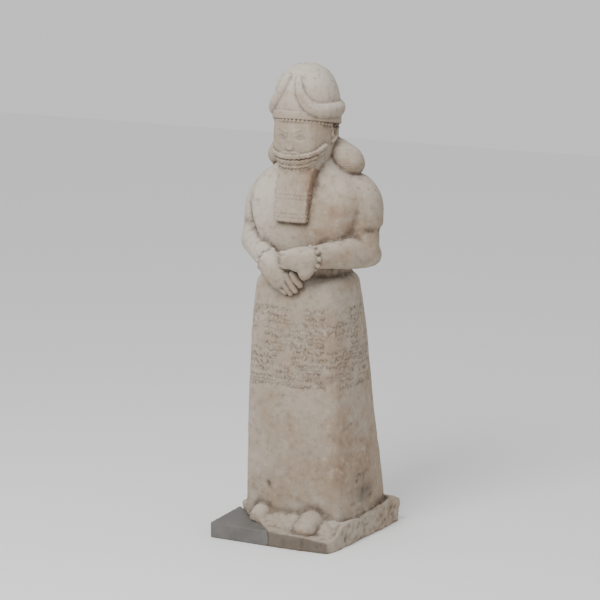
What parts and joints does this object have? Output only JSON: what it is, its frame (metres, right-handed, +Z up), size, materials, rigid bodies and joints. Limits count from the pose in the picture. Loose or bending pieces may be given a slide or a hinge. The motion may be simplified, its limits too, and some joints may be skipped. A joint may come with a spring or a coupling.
{
  "type": "attendant god statue",
  "caption": "Worn standing figure of a bearded attendant in a horned cap and long inscribed robe, hands clasped, on its own plinth with a smooth corner fill.",
  "frame": {"origin": "middle of the plinth's underside, below the middle of the stone block", "axes": "+Z up, the figure faces -Y, its left side is +X"},
  "size_m": [0.5151, 0.5, 1.6],
  "materials": {
    "limestone": "weathered, pitted, matt",
    "grey_fill": "smooth, matt"
  },
  "bodies": {
    "root": {"statue": "limestone", "plinth_fill": "grey_fill"}
  },
  "joints": []
}
